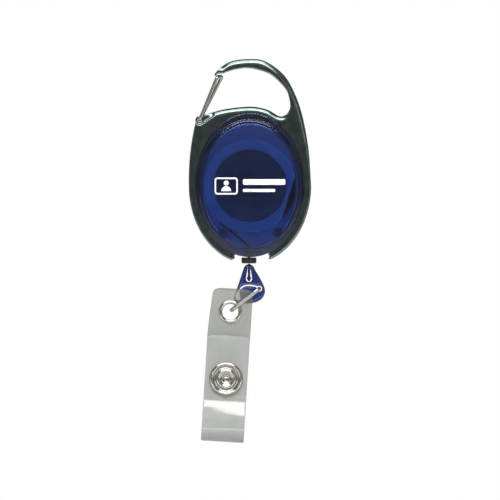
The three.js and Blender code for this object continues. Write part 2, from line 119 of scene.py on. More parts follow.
def bent(corners, radius, step=0.25):
    """Straight runs with round corners, as close points in 3-D."""
    points, here = [], Vector(corners[0])
    for k in range(1, len(corners) - 1):
        at = Vector(corners[k])
        back, ahead = Vector(corners[k - 1]) - at, Vector(corners[k + 1]) - at
        reach = min(radius, back.length * 0.49, ahead.length * 0.49)
        start, end = at + back.normalized() * reach, at + ahead.normalized() * reach
        n = max(1, round((start - here).length / step))
        points += [here.lerp(start, i / n) for i in range(n)]
        for i in range(10):
            t = i / 10
            points.append(start * (1 - t) ** 2 + at * 2 * t * (1 - t) + end * t * t)
        here = end
    last = Vector(corners[-1])
    n = max(1, round((last - here).length / step))
    return points + [here.lerp(last, i / n) for i in range(n + 1)]


def inset(oval, by):
    return tuple(v - by for v in oval)


def scaled(oval, by):
    return tuple(v * by for v in oval)


def rounded(x0, x1, z0, z1, lower, upper, steps=8):
    def corner(x, z, r, start):
        return arc(x, z, r, start, start + 90, steps) if r > 0 else [(x, z)]
    return (corner(x0 + lower, z0 + lower, lower, 180) + corner(x1 - lower, z0 + lower, lower, 270)
            + corner(x1 - upper, z1 - upper, upper, 0) + corner(x0 + upper, z1 - upper, upper, 90))


def ribbon(line, thickness):
    sides = [[], []]
    for i, p in enumerate(line):
        a, b = line[max(i - 1, 0)], line[min(i + 1, len(line) - 1)]
        dx, dz = b[0] - a[0], b[1] - a[1]
        n = math.hypot(dx, dz) or 1
        for k, sign in ((0, 1), (1, -1)):
            sides[k].append((p[0] - dz / n * sign * thickness / 2, p[1] + dx / n * sign * thickness / 2))
    return sides[0] + sides[1][::-1]


# ---------------------------------------------------------------- mesh helpers

IN_CASE = Matrix.Translation((0, 0, -HOOK_CREST))
IN_STRAP = (Matrix.Translation((EYELET_X, 0, EYELET_Z - HOOK_CREST))
            @ Matrix.Rotation(TILT, 4, "Y"))


def new_object(name, bm, place=IN_CASE, smooth=35):
    """A mesh object in metres from a bmesh in mm."""
    bm.transform(Matrix.Scale(MM, 4) @ place)
    bmesh.ops.recalc_face_normals(bm, faces=bm.faces)
    me = bpy.data.meshes.new(name)
    bm.to_mesh(me)
    bm.free()
    o = bpy.data.objects.new(name, me)
    bpy.context.scene.collection.objects.link(o)
    shade(o, smooth)
    return o


def shade(o, smooth=35):
    o.data.polygons.foreach_set("use_smooth", [True] * len(o.data.polygons))
    if smooth < 180:
        o.data.set_sharp_from_angle(angle=rad(smooth))


def prism(outline, y0, y1):
    bm = bmesh.new()
    clean = []
    for p in outline:
        if not clean or math.dist(p, clean[-1]) > 1e-4:
            clean.append(p)
    if math.dist(clean[0], clean[-1]) < 1e-4:
        clean.pop()
    front = bm.faces.new([bm.verts.new((x, y0, z)) for x, z in clean])
    out = bmesh.ops.extrude_face_region(bm, geom=[front])
    bmesh.ops.translate(bm, vec=(0, y1 - y0, 0),
                        verts=[v for v in out["geom"] if isinstance(v, bmesh.types.BMVert)])
    bmesh.ops.recalc_face_normals(bm, faces=bm.faces)
    return bm


def bar(r, y0, y1, x=0.0, z=0.0, sides=48):
    return prism(arc(x, z, r, 0, 360 - 360 / sides, sides - 1), y0, y1)


def lathe(rings, sides, point, close_profile):
    """Rings about Y. rings holds (radius or oval, y); point(radius or oval, degrees) gives x and z."""
    bm = bmesh.new()
    rows = []
    for what, y in rings:
        if what == 0 or (isinstance(what, tuple) and what[0] == 0):
            rows.append([bm.verts.new((0, y, 0))])
        else:
            rows.append([bm.verts.new((p[0], y, p[1]))
                         for p in (point(what, 360 * i / sides) for i in range(sides))])
    pairs = list(zip(rows, rows[1:]))
    if close_profile:
        pairs.append((rows[-1], rows[0]))
    for a, b in pairs:
        for i in range(sides):
            j = (i + 1) % sides
            if len(a) == 1 and len(b) == 1:
                continue
            if len(a) == 1:
                bm.faces.new((a[0], b[i], b[j]))
            elif len(b) == 1:
                bm.faces.new((a[i], b[0], a[j]))
            else:
                bm.faces.new((a[i], b[i], b[j], a[j]))
    bmesh.ops.recalc_face_normals(bm, faces=bm.faces)
    return bm


def turned(profile, x=0.0, z=0.0, sides=96):
    """A closed (radius, y) profile turned about Y."""
    ends_on_axis = profile[0][0] == 0 and profile[-1][0] == 0
    bm = lathe(profile, sides, lambda r, a: (r * math.cos(rad(a)), r * math.sin(rad(a))), not ends_on_axis)
    bmesh.ops.translate(bm, vec=(x, 0, z), verts=bm.verts)
    return bm


def oval_turned(rings, sides=160):
    ends = rings[0][0][0] == 0 and rings[-1][0][0] == 0
    return lathe(rings, sides, oval_point, not ends)


def fillet(profile, r=0.12, steps=4):
    """Rounds the corners of a closed [radius, y] profile that starts and ends anywhere."""
    out, n = [], len(profile)
    on_axis = profile[0][0] == 0 and profile[-1][0] == 0
    for k, p in enumerate(profile):
        if on_axis and k in (0, n - 1):
            out.append(tuple(p))
            continue
        a, b = profile[k - 1], profile[(k + 1) % n]
        at, va, vb = Vector(p), Vector(a) - Vector(p), Vector(b) - Vector(p)
        cut = min(r, va.length * 0.45, vb.length * 0.45)
        start, end = at + va.normalized() * cut, at + vb.normalized() * cut
        for i in range(steps + 1):
            t = i / steps
            q = start * (1 - t) ** 2 + at * 2 * t * (1 - t) + end * t * t
            out.append((q.x, q.y))
    return out


def tube(path, r, sides=16, closed=False, strands=0):
    """A round wire along close points, or a cord if it has strands."""
    bm = bmesh.new()
    pts = [Vector(p) for p in path]
    n = len(pts)
    rows, run, normal = [], 0.0, None
    for i, p in enumerate(pts):
        a = pts[(i - 1) % n] if closed or i else pts[0]
        b = pts[(i + 1) % n] if closed or i < n - 1 else pts[-1]
        along = (b - a).normalized()
        if normal is None:
            normal = along.orthogonal().normalized()
        normal = (normal - along * normal.dot(along)).normalized()
        side = along.cross(normal)
        if i:
            run += (p - pts[i - 1]).length
        row = []
        for k in range(sides):
            t = 2 * math.pi * k / sides
            reach = r if not strands else r * (0.89 + 0.11 * math.cos(strands * t - 2 * math.pi * run / TWIST))
            row.append(bm.verts.new(p + (normal * math.cos(t) + side * math.sin(t)) * reach))
        rows.append(row)
    for a, b in zip(rows, rows[1:]):
        for k in range(sides):
            j = (k + 1) % sides
            bm.faces.new((a[k], a[j], b[j], b[k]))
    if closed:
        a, b = rows[-1], rows[0]
        shift = min(range(sides), key=lambda s: (a[0].co - b[s].co).length)
        for k in range(sides):
            j = (k + 1) % sides
            bm.faces.new((a[k], a[j], b[(j + shift) % sides], b[(k + shift) % sides]))
    else:
        bm.faces.new(rows[0][::-1])
        bm.faces.new(rows[-1])
    return bm


def boolean(o, tools, operation="DIFFERENCE"):
    for t in tools:
        m = o.modifiers.new("cut", "BOOLEAN")
        m.operation, m.solver, m.object = operation, "EXACT", t
        apply(o)
        bpy.data.objects.remove(t)
    return o


def apply(o):
    """Bakes the modifiers into the mesh."""
    bpy.context.view_layer.update()
    deps = bpy.context.evaluated_depsgraph_get()
    me = bpy.data.meshes.new_from_object(o.evaluated_get(deps))
    o.modifiers.clear()
    o.data = me
    return o


def even_out(o, turns):
    m = o.modifiers.new("smooth", "SMOOTH")
    m.factor, m.iterations = 0.5, turns
    return apply(o)


def soften(o, voxel, turns):
    """Remeshes finely and rounds the edges over, as a cast or moulded piece has them."""
    m = o.modifiers.new("remesh", "REMESH")
    m.mode, m.voxel_size, m.adaptivity = "VOXEL", voxel * MM, 0
    m.use_smooth_shade = True
    even_out(o, turns)
    shade(o, 180)


def tool(bm, place=IN_CASE):
    return new_object("tool", bm, place, 180)


# ---------------------------------------------------------------- materials

def finish_of(name, colour, rough, metal=0.0, spread=0.06, scale=900.0, bump=0.0, bump_scale=4000.0, **extra):
    """A Principled material whose colour, roughness and bump vary over the surface."""
    m = bpy.data.materials.new(name)
    m.use_nodes = True
    nodes, links = m.node_tree.nodes, m.node_tree.links
    shader = nodes["Principled BSDF"]
    shader.inputs["Metallic"].default_value = metal
    for key, value in extra.items():
        shader.inputs[key].default_value = value
    place = nodes.new("ShaderNodeTexCoord")
    cloud = nodes.new("ShaderNodeTexNoise")
    cloud.inputs["Scale"].default_value = scale
    cloud.inputs["Detail"].default_value = 4.0
    links.new(place.outputs["Object"], cloud.inputs["Vector"])
    ramp = nodes.new("ShaderNodeValToRGB")
    ramp.color_ramp.elements[0].position, ramp.color_ramp.elements[1].position = 0.32, 0.68
    ramp.color_ramp.elements[0].color = (*[c * (1 - spread) for c in colour], 1)
    ramp.color_ramp.elements[1].color = (*[min(1.0, c * (1 + 2.2 * spread)) for c in colour], 1)
    links.new(cloud.outputs["Fac"], ramp.inputs["Fac"])
    links.new(ramp.outputs["Color"], shader.inputs["Base Color"])
    span = nodes.new("ShaderNodeMapRange")
    span.inputs["To Min"].default_value = rough * 0.8
    span.inputs["To Max"].default_value = rough * 1.3
    links.new(cloud.outputs["Fac"], span.inputs["Value"])
    links.new(span.outputs["Result"], shader.inputs["Roughness"])
    if bump:
        grain = nodes.new("ShaderNodeTexNoise")
        grain.inputs["Scale"].default_value = bump_scale
        grain.inputs["Detail"].default_value = 3.0
        links.new(place.outputs["Object"], grain.inputs["Vector"])
        raised = nodes.new("ShaderNodeBump")
        raised.inputs["Strength"].default_value = bump
        raised.inputs["Distance"].default_value = 0.0001
        links.new(grain.outputs["Fac"], raised.inputs["Height"])
        links.new(raised.outputs["Normal"], shader.inputs["Normal"])
    return m


def absorb(material, colour, density):
    """Tints the inside of clear plastic, so that thick parts are darker."""
    nodes, links = material.node_tree.nodes, material.node_tree.links
    inside = nodes.new("ShaderNodeVolumeAbsorption")
    inside.inputs["Color"].default_value = (*colour, 1)
    inside.inputs["Density"].default_value = density
    links.new(inside.outputs["Volume"], nodes["Material Output"].inputs["Volume"])


CHROME = finish_of("black_chrome", (0.145, 0.185, 0.178), 0.12, 1.0, 0.12, 420, 0.02, 900)
BLUE = finish_of("blue_plastic", (0.138, 0.272, 0.60), 0.16, 0.0, 0.03, 200, 0.0, 500,
                 **{"Transmission Weight": 1.0, "IOR": 1.48})
# painted shade: the back shell is the same blue plastic as the front, made darker to stand in for the shade behind
# the case, where little light comes through
REAR_PAINTED_SHADE = finish_of("rear_plastic_painted_shade", (0.068, 0.109, 0.296), 0.16, 0.0, 0.03, 200, 0.0, 500,
                 **{"Transmission Weight": 1.0, "IOR": 1.48})
DROP = finish_of("drop_plastic", (0.035, 0.07, 0.27), 0.07, 0.0, 0.04, 400, 0.03, 900,
                 **{"Transmission Weight": 0.97, "IOR": 1.5})
absorb(BLUE, (0.0, 0.08, 0.4), 220)
absorb(REAR_PAINTED_SHADE, (0.0, 0.08, 0.4), 220)
absorb(DROP, (0.0, 0.15, 0.5), 380)
NICKEL = finish_of("nickel", (0.41, 0.395, 0.37), 0.12, 1.0, 0.05, 700, 0.012, 1500)
STEEL = finish_of("spring_steel", (0.62, 0.66, 0.58), 0.40, 1.0, 0.15, 1500, 0.08, 6000)
NYLON = finish_of("white_nylon", (0.78, 0.81, 0.84), 0.42, 0.0, 0.03, 600, 0.05, 3000)
CORD = finish_of("black_cord", (0.012, 0.012, 0.014), 0.75, 0.0, 0.3, 3000, 0.4, 9000)
RUBBER = finish_of("black_rubber", (0.006, 0.008, 0.006), 0.40, 0.0, 0.2, 1500, 0.2, 5000)
VINYL = finish_of("clear_vinyl", (0.435, 0.455, 0.425), 0.11, 0.0, 0.04, 160, 0.05, 500,
                  **{"Transmission Weight": 0.78, "IOR": 1.54})
# painted light: the same clear vinyl, made more diffuse and less clear, so that the doubled, curved part of the strap
# shows the brightness it gets from the light falling on it
VINYL_PAINTED_LIGHT = finish_of("vinyl_painted_light", (0.385, 0.40, 0.378), 0.10, 0.0, 0.04, 160, 0.05, 500,
                 **{"Transmission Weight": 0.22, "IOR": 1.54})
PRINT = finish_of("white_print", (0.86, 0.87, 0.88), 0.5, 0.0, 0.02, 2000, 0.05, 8000)


def piece(o, body, slot, material, *nodes):
    o.data.materials.clear()
    o.data.materials.append(material)
    if nodes:
        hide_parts(*nodes)
    if body:
        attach(o, body)
    return o


# ---------------------------------------------------------------- carabiner frame

def frame_outline():
    outer, opening = (18.0, 22.9, 22.9), inset(FACE, -FIT)
    side = bezier((-18, 0), (-18.2, 7), (-17.3, 13.5), (-16, 18.9), 40)
    crossbar = spline([(-12.4, 21.2), (-7.6, 22.6), (0, 23.4), (4.8, 22.6), (7.4, 21.2),
                       (8.3, 20.7), (9.4, 20.5), (10.9, 21.3), (11.8, 23.2), (11.6, 25.3)])
    inside = spline([(11.6, 25.3), (10.8, 27.9), (8.4, 30.8), (5.2, 33.2), (0, 34.6), (-4.1, 34.3), (-7.4, 33.3)])
    nose = [(-7.9, 33.05), (-9.7, 33.05), (-9.85, 32.35), (-10.45, 32.3)]
    outside = spline([(-10.4, 33.0), (-8.4, 35.1), (-5.2, 36.8), (0, 37.4), (4.4, 36.75), (9.4, 33.3),
                      (12.4, 28.9), (15.2, 21.6), (17.2, 11.2), (18, 0)])
    outline = (oval_arc(outer, 252, 180, 50) + side[1:] + arc(GATE_X, GATE_Z, 1.3, 190, 110, 10)
               + crossbar + inside[1:] + nose + outside + oval_arc(outer, 0, -71, 50)[1:]
               + arc(5.05, -20.75, 0.6, -60, 60, 6) + oval_arc(opening, -68.5, 253.5, 220)
               + arc(-4.0, -20.75, 0.6, 120, 240, 6))
    return outline, [crossbar[2:50], outside[8:] + oval_arc(outer, 0, -71, 50)[1:]]


def round_over(o, lines, radius, half, least=None):
    """Rounds the front and back over towards these lines, with less at the case's middle if least is given."""
    count = len(o.data.vertices)
    co = np.empty(count * 3, np.float64)
    o.data.vertices.foreach_get("co", co)
    co = co.reshape(-1, 3) / MM
    near = np.full(count, 1e9)
    x, z = co[:, 0], co[:, 2] + HOOK_CREST
    for line in lines:
        for (ax, az), (bx, bz) in zip(line, line[1:]):
            dx, dz = bx - ax, bz - az
            t = np.clip(((x - ax) * dx + (z - az) * dz) / max(dx * dx + dz * dz, 1e-9), 0, 1)
            near = np.minimum(near, np.hypot(x - ax - t * dx, z - az - t * dz))
    if least is not None:
        rise = np.clip((z - 2) / 20, 0, 1)
        radius = least + (radius - least) * rise * rise * (3 - 2 * rise)
    depth = np.clip(near / radius, 0, 1)
    drop = radius * (1 - np.sqrt(1 - (1 - depth) ** 2))
    co[:, 1] *= 1 - drop / half
    o.data.vertices.foreach_set("co", (co * MM).ravel())
    o.data.update()


def carabiner():
    outline, outer_edges = frame_outline()
    o = new_object("carabiner", prism(outline, -FRAME_HALF, FRAME_HALF))
    pocket = arc(GATE_X, GATE_Z, 1.35, 150, 290, 12) + arc(GATE_X, GATE_Z, 4.5, 18, 110, 16)
    boolean(o, [tool(prism(pocket, -3.5, -1.2)), tool(prism(pocket, 1.2, 3.5)),
                tool(prism([(-0.75, 19.0), (0.75, 19.0), (0.75, 21.0), (-0.75, 21.0)], -3.5, 3.5))])
    soften(o, 0.16, 5)
    round_over(o, outer_edges, 1.45, FRAME_HALF, 0.5)
    even_out(o, 6)
    boolean(o, [tool(bar(0.6, -3.5, 3.5, GATE_X, GATE_Z))])
    shade(o, 50)
    return piece(o, "case", "black_chrome", CHROME, "carabiner_frame")


# ---------------------------------------------------------------- shells

DOWELS = [(-8.1, -14.1), (8.4, -13.8)]


def crown(share):
    """How far the shell's face stands from the middle, by its share of the way out."""
    t = min(max((share - 0.35) / 0.6, 0), 1)
    return CASE_HALF - 0.34 * t * t


def shell(side):
    ceiling, under = CASE_HALF - WALL, FRAME_HALF + FIT
    rings = [((0, 0, 0), CASE_HALF)]
    rings += [(scaled(FACE, s / 100), crown(s / 100)) for s in range(10, 96, 5)]
    top = crown(0.95)
    for i in range(1, 9):           # the round edge of the face
        t = rad(90 * i / 8)
        rings.append((inset(FACE, 0.76 * (1 - math.sin(t))), top - 0.76 * (1 - math.cos(t))))
    rings += [(FACE, under + 1.15)]
    for i in range(1, 5):           # the hollow between face and rim
        t = rad(90 * i / 4)
        rings.append((inset(FACE, -0.25 * (1 - math.cos(t))), under + 1.15 - 0.3 * math.sin(t)))
    rings.append((inset(RIM, 0.35), under + 0.8))
    for i in range(1, 6):           # the rim's round edge
        t = rad(90 * i / 5)
        rings.append((inset(RIM, 0.35 * (1 - math.sin(t))), under + 0.45 + 0.35 * math.cos(t)))
    rings += [(RIM, under), (FACE, under), (FACE, 0.05), (CAVITY, 0.05), (CAVITY, ceiling - 0.8)]
    for i in range(1, 6):
        t = rad(90 * i / 5)
        rings.append((inset(CAVITY, 0.6 * (1 - math.cos(t))), ceiling - 0.6 + 0.6 * math.sin(t)))
    rings += [(scaled(CAVITY, 0.5), ceiling), ((0, 0, 0), ceiling)]
    o = new_object("shell", oval_turned([(r, side * y) for r, y in rings]))

    def span(y0, y1):
        return (-y1, -y0) if side < 0 else (y0, y1)

    def box(x0, x1, z0, z1, y0, y1):
        return prism([(x0, z0), (x1, z0), (x1, z1), (x0, z1)], *span(y0, y1))

    chin = tool(box(-3.9, 5.1, -21.5, -17.9, 0.05, under + 0.1))
    boolean(chin, [tool(prism(oval_arc(inset(RIM, 0.05), 0, 358, 179), *span(0, 3.5)))], "INTERSECT")
    adds = [chin, tool(box(-0.65, 0.65, 19.1, 20.9, 0.05, under + 0.1)),
            tool(bar(2.5, *span(3.15, ceiling + 0.3)))]
    adds += [tool(bar(1.55, *span(0.05, ceiling + 0.3), x, z)) for x, z in DOWELS]
    boolean(o, adds, "UNION")
    throat = tool(tube([(CORD_X, 0, -17), (CORD_X, 0, -22)], 0.75, 32))
    cuts = [throat, tool(bar(AXLE_HOLE, *span(2.5, ceiling - 0.05)))]
    if side < 0:
        cuts += [tool(bar(0.9, -3.2, 0.5, x, z)) for x, z in DOWELS]
    boolean(o, cuts)
    if side > 0:
        boolean(o, [tool(bar(0.8, -2.8, 1, x, z)) for x, z in DOWELS], "UNION")
    shade(o, 32)
    o.name = "shell_front" if side < 0 else "shell_back"
    # the back shell takes the copy of the blue plastic darkened with painted shade
    return piece(o, "case", "blue_plastic", BLUE if side < 0 else REAR_PAINTED_SHADE,
                 "front_shell" if side < 0 else "back_shell")


def print_layer(name):
    """A skin just proud of the front shell's face, to cut the print from."""
    steps = range(5, 91, 5)
    under, over = 0.05, 0.025
    return new_object(name, oval_turned(
        [((0, 0, 0), -CASE_HALF - over)]
        + [(scaled(FACE, s / 100), -crown(s / 100) - over) for s in steps]
        + [(scaled(FACE, s / 100), -crown(s / 100) + under) for s in reversed(steps)]
        + [((0, 0, 0), -CASE_HALF + under)]))


def pictogram():
    """A plain identity-card sign: a card with a head and shoulders, and two bars beside it."""
    y0, y1 = -7, -4                 # from before the face to behind it
    marks = bmesh.new()
    for bm in (prism(rounded(-10.4, -3.6, -2.5, 2.5, 0.8, 0.8), y0, y1),
               prism(rounded(-2.1, 10.4, 0.35, 2.0, 0.4, 0.4), y0, y1),
               prism(rounded(-2.1, 7.4, -1.75, -0.85, 0.3, 0.3), y0, y1)):
        part = bpy.data.meshes.new("part")
        bm.to_mesh(part)
        bm.free()
        marks.from_mesh(part)
        bpy.data.meshes.remove(part)
    sign = print_layer("card_sign")
    boolean(sign, [tool(marks)], "INTERSECT")
    boolean(sign, [tool(prism(rounded(-9.95, -4.05, -2.05, 2.05, 0.45, 0.45), y0, y1))])
    piece(sign, "case", "white_nylon", PRINT)

    figure = tool(prism(arc(-7, -1.5, 1.45, 0, 180, 24), y0, y1))
    boolean(figure, [tool(bar(0.75, y0, y1, -7, 0.85))], "UNION")
    person = print_layer("card_figure")
    boolean(person, [figure], "INTERSECT")
    piece(person, "case", "white_nylon", PRINT)


# ---------------------------------------------------------------- reel

def reel():
    drum = turned(fillet([(AXLE_HOLE, SPOOL_HALF), (FLANGE_R, SPOOL_HALF), (FLANGE_R, SPOOL_INNER),
                          (DRUM_R, SPOOL_INNER), (DRUM_R, -2.2), (CHAMBER_R, -2.2), (CHAMBER_R, SPOOL_INNER),
                          (2.7, SPOOL_INNER), (2.7, 1.95), (AXLE_HOLE, 1.95)], 0.1), sides=144)
    piece(new_object("drum", drum), "reel", "white_nylon", NYLON, "spool")

    ring = new_object("flange", turned(fillet([(10.8, -SPOOL_HALF), (FLANGE_R, -SPOOL_HALF),
                                               (FLANGE_R, -SPOOL_INNER), (10.8, -SPOOL_INNER)], 0.12), sides=144))
    turn = Matrix.Rotation(rad(17), 4, "Y")
    cutter = prism([(11.8, -12), (16, -12), (16, 12), (11.8, 12)], -4, -1)
    cutter.transform(turn)
    boolean(ring, [tool(cutter)])
    shade(ring)
    piece(ring, "reel", "white_nylon", NYLON, "spool_flange")

    tail = prism(ribbon([(0.5, 0), (1.2, 0), (1.75, 0), (1.95, 0.15), (2.0, 0.4)], 0.2), -1.9, 1.7)
    piece(new_object("spring_tail", tail), "case", "spring_steel", STEEL, "spiral_spring")
    coils, line = 15, []
    for i in range(5, coils * 48 + 1):
        r = 2.15 + (10.2 - 2.15) * i / (coils * 48)
        line.append((r * math.cos(rad(i * 7.5)), r * math.sin(rad(i * 7.5))))
    piece(new_object("spring", prism(ribbon(line, 0.2), -1.9, 1.7)), "reel", "spring_steel", STEEL, "spiral_spring")

    path, steps, turns = [], 40, 4
    for layer in range(3):
        r = 11.8 + 0.62 * layer
        for i in range(steps * turns):
            share = i / (steps * turns)
            y = -1.7 + 3.4 * (share if layer % 2 == 0 else 1 - share)
            t = 2 * math.pi * i / steps
            path.append((r * math.cos(t), y, r * math.sin(t)))
    piece(new_object("windings", tube(path, 0.38, 10), smooth=180), "reel", "black_cord", CORD, "wound_cord")

    arbor = new_object("arbor", turned(fillet([(0, -4.2), (AXLE_R, -4.2), (AXLE_R, 4.2), (0, 4.2)], 0.2)))
    boolean(arbor, [tool(prism([(-3, -0.25), (3, -0.25), (3, 0.25), (-3, 0.25)], -6, 1.9))])
    shade(arbor)
    piece(arbor, "case", "white_nylon", NYLON, "spring_arbor")


# ---------------------------------------------------------------- cord

def cord():
    bend, mouth, leaves = Vector((CORD_X, 0, -17.6)), (CORD_X, 0, -18.44), 13.75
    at = math.atan2(bend.z, bend.x) - math.acos(leaves / math.hypot(bend.x, bend.z))
    start = (leaves * math.cos(at), 0, leaves * math.sin(at))
    run = new_object("cord_inside", tube(bent([start, bend, mouth], 0.9, 0.12), CORD_R, 18, strands=3), smooth=180)
    piece(run, "case", "black_cord", CORD, "cord_run")

    inner = [(CORD_X, 0, -18.45 - 0.1 * i) for i in range(44)]
    pull = new_object("cord_pulled", tube(inner, CORD_R, 18, strands=3), smooth=180)
    piece(pull, None, "black_cord", CORD, "pull_cord")
    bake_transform(pull)

    bead = turned(fillet([(0.46, -21.0), (2.1, -21.0), (2.2, -21.1), (2.2, -22.4), (1.95, -22.75),
                          (0.46, -22.75)], 0.12))
    bead.transform(Matrix.Rotation(rad(90), 4, "X"))
    for v in bead.verts:
        v.co.x += CORD_X
    piece(new_object("stopper", bead), "cord_end", "black_rubber", RUBBER, "cord_stopper")

    hanging = [(CORD_X, 0, -22.85 - 0.1 * i) for i in range(40)]
    tail = new_object("cord_end", tube(hanging, CORD_R, 18, strands=3), smooth=180)
    loop = []
    for i in range(90):              # an overhand knot: the path of a trefoil, pressed together
        t = 2 * math.pi * i / 90
        loop.append((CORD_X + 0.17 * (math.sin(t) + 2 * math.sin(2 * t)) * 0.8,
                     -0.32 * math.sin(3 * t),
                     -27.2 + 0.22 * (math.cos(t) - 2 * math.cos(2 * t)) * 0.8))
    piece(new_object("knot", tube(loop, 0.27, 14, closed=True), smooth=180), "cord_tail", "black_cord", CORD,
          "cord_knot")
    piece(tail, "cord_tail", "black_cord", CORD, "cord_knot")


def drop():
    thick, thin, bottom = 1.3, 1.0, -34.5
    outline = (arc(CORD_X, -24.65, 1.65, 165, 15, 24)
               + spline([(1.65, -24.9), (2.7, -26.6), (4.1, -29.4), (4.4, -31.3), (3.6, -33.0), (1.9, -34.1),
                         (-0.2, bottom)])
               + arc(-3.4, -33.0, 1.35, 265, 160, 16))
    o = new_object("drop", prism(outline, -thick, thick))
    side = prism([(-thick, -20), (thick, -20), (thick, -28.6), (thin, -30), (thin, -36), (-thin, -36), (-thin, -30),
                  (-thick, -28.6)], -7, 7)
    side.transform(Matrix.Rotation(rad(90), 4, "Z"))
    boolean(o, [tool(side)], "INTERSECT")
    soften(o, 0.12, 3)
    round_over(o, [outline + outline[:1]], 1.0, thick)
    window = (spline([(-0.65, -24.0), (-0.95, -25.5), (-1.2, -27.1)]) + arc(CORD_X, -27.3, 0.9, 180, 360, 20)
              + spline([(0.6, -27.1), (0.35, -25.5), (0.05, -24.0)]))
    slit = ribbon(spline([(2.4, -29.7), (0.9, -29.3), (-0.8, -29.2), (-2.4, -29.8), (-3.5, -31.4)]), 0.38)
    low = spline([(-3.2, -31.2), (-3.9, -31.3), (-4.3, -32.9), (-3.7, -33.5), (-2.8, -33.2), (-3.2, -31.2)], 5)[:-1]
    boolean(o, [tool(prism(window, -3, 3)), tool(prism(slit, -3, 3)), tool(prism(low, -3, 3)),
                tool(bar(0.85, -3, 3, 2.7, -30.2)),
                tool(tube([(CORD_X, 0, -22), (CORD_X, 0, -25.4)], 0.5, 24))])
    shade(o, 40)
    return piece(o, "connector", "blue_plastic", DROP, "cord_connector")


# ---------------------------------------------------------------- wires

def wires():
    top, end = Vector((2.7, 0, -30.2)), Vector((-5.4, 0, -36.5))

    def at(share, y):
        p = top.lerp(end, share)
        return (p.x, y, p.z)

    path = bent([at(0.49, 3.1), at(0, 3.1), at(0, -3.1), at(1, -3.1), at(1, 3.1), at(0.51, 3.1)], 1.7, 0.3)
    piece(new_object("link", tube(path, 0.6, 28), smooth=60), "link", "nickel", NICKEL, "link_ring")

    x, z, y = GATE_X, GATE_Z, 1.8
    path = bent([(x, -0.2, z), (x, -y, z), (-9.6, -y, 32.2), (-8.75, 0, 32.2), (-8.2, y, 32.2), (x, y, z),
                 (x, 0.2, z)], 0.9, 0.25)
    piece(new_object("gate", tube(path, 0.5, 28), smooth=60), "gate", "nickel", NICKEL, "gate_wire")


# ---------------------------------------------------------------- strap

def strap():
    bm = bmesh.new()
    fold = spline([(STRAP_Y, -36.15), (-2.3, -37.3), (-4.0, -38.0), (-5.5, -37.5), (-6.65, -36.0), (-7.0, -34.2),
                   (-6.85, -32.3), (-6.42, -30.5), (-5.62, -28.4), (-4.88, -26.6), (-4.6, -25.6), (FLAP_Y, -24.6)], 8)
    back = 86                       # points in the back layer
    line = [(STRAP_Y, STRAP_TOP - 0.5 * i) for i in range(back)] + fold
    line += [(FLAP_Y, -24.6 + 0.5 * i) for i in range(1, 35)]
    line.append((FLAP_Y, FLAP_TOP))
    half = STRAP_W / 2
    across = [0, 0.012, 0.03] + [0.03 + 0.94 * k / 24 for k in range(1, 24)] + [0.97, 0.988, 1]
    fullness = [0.45, 0.85] + [1] * 25 + [0.85, 0.45]
    columns = len(across) - 1
    rows = []
    for i, (y, z) in enumerate(line):
        a, b = line[max(i - 1, 0)], line[min(i + 1, len(line) - 1)]
        dy, dz = b[0] - a[0], b[1] - a[1]
        n = math.hypot(dy, dz)
        ny, nz = -dz / n, dy / n
        # the two ends have round corners
        near = min(STRAP_TOP - z if i < back else 99, FLAP_TOP - z if i > len(line) - 40 else 99)
        r = 1.75
        trim = r - math.sqrt(max(r * r - (r - near) ** 2, 0)) if near < r else 0
        taper = 0.95 * max(0.0, (z - FLAP_TOP) / (STRAP_TOP - FLAP_TOP)) ** 1.3 if i < back else 0.0
        low, high = -half + trim + taper, half - trim
        thin = 0.55 if near < 0.05 else 1.0
        ring = [(low + (high - low) * a, f * thin) for a, f in zip(across, fullness)]
        ring += [(x, -f) for x, f in ring[::-1]]
        # the bulge is fuller on its right
        hollow = 0.32 * math.exp(-((z + 31) / (2.4 if z > -31 else 6.5)) ** 2) if i >= back and y < -3.0 else 0.0
        rows.append([bm.verts.new((x, y + ny * s * STRAP_T / 2 + hollow * (0.5 - x / (2 * half)),
                                   z + nz * s * STRAP_T / 2)) for x, s in ring])
    count = len(rows[0])
    for a, b in zip(rows, rows[1:]):
        for k in range(count):
            j = (k + 1) % count
            bm.faces.new((a[k], a[j], b[j], b[k]))
    for row, flip in ((rows[0], True), (rows[-1], False)):
        for k in range(columns):
            quad = (row[k], row[k + 1], row[count - 2 - k], row[count - 1 - k])
            bm.faces.new(quad[::-1] if flip else quad)
    o = new_object("vinyl_strap", bm, IN_STRAP, 180)
    boolean(o, [tool(bar(2.6, -5, 5, 0, 0, 64), IN_STRAP), tool(bar(1.3, -6, 0, 0, SNAP_Z, 40), IN_STRAP)])
    shade(o, 40)
    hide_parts("strap_back", "strap_flap")
    o.data.materials.clear()
    o.data.materials.append(VINYL)
    o.data.materials.append(VINYL_PAINTED_LIGHT)
    single = (EYELET_Z + FLAP_TOP - HOOK_CREST) * MM    # above this there is one layer
    # the back layer below the flap's top, the fold and the flap take the vinyl copy whose tone is painted light
    for f in o.data.polygons:
        f.material_index = int(f.center.z < single or f.center.y < -3.5 * MM)
    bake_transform(o)


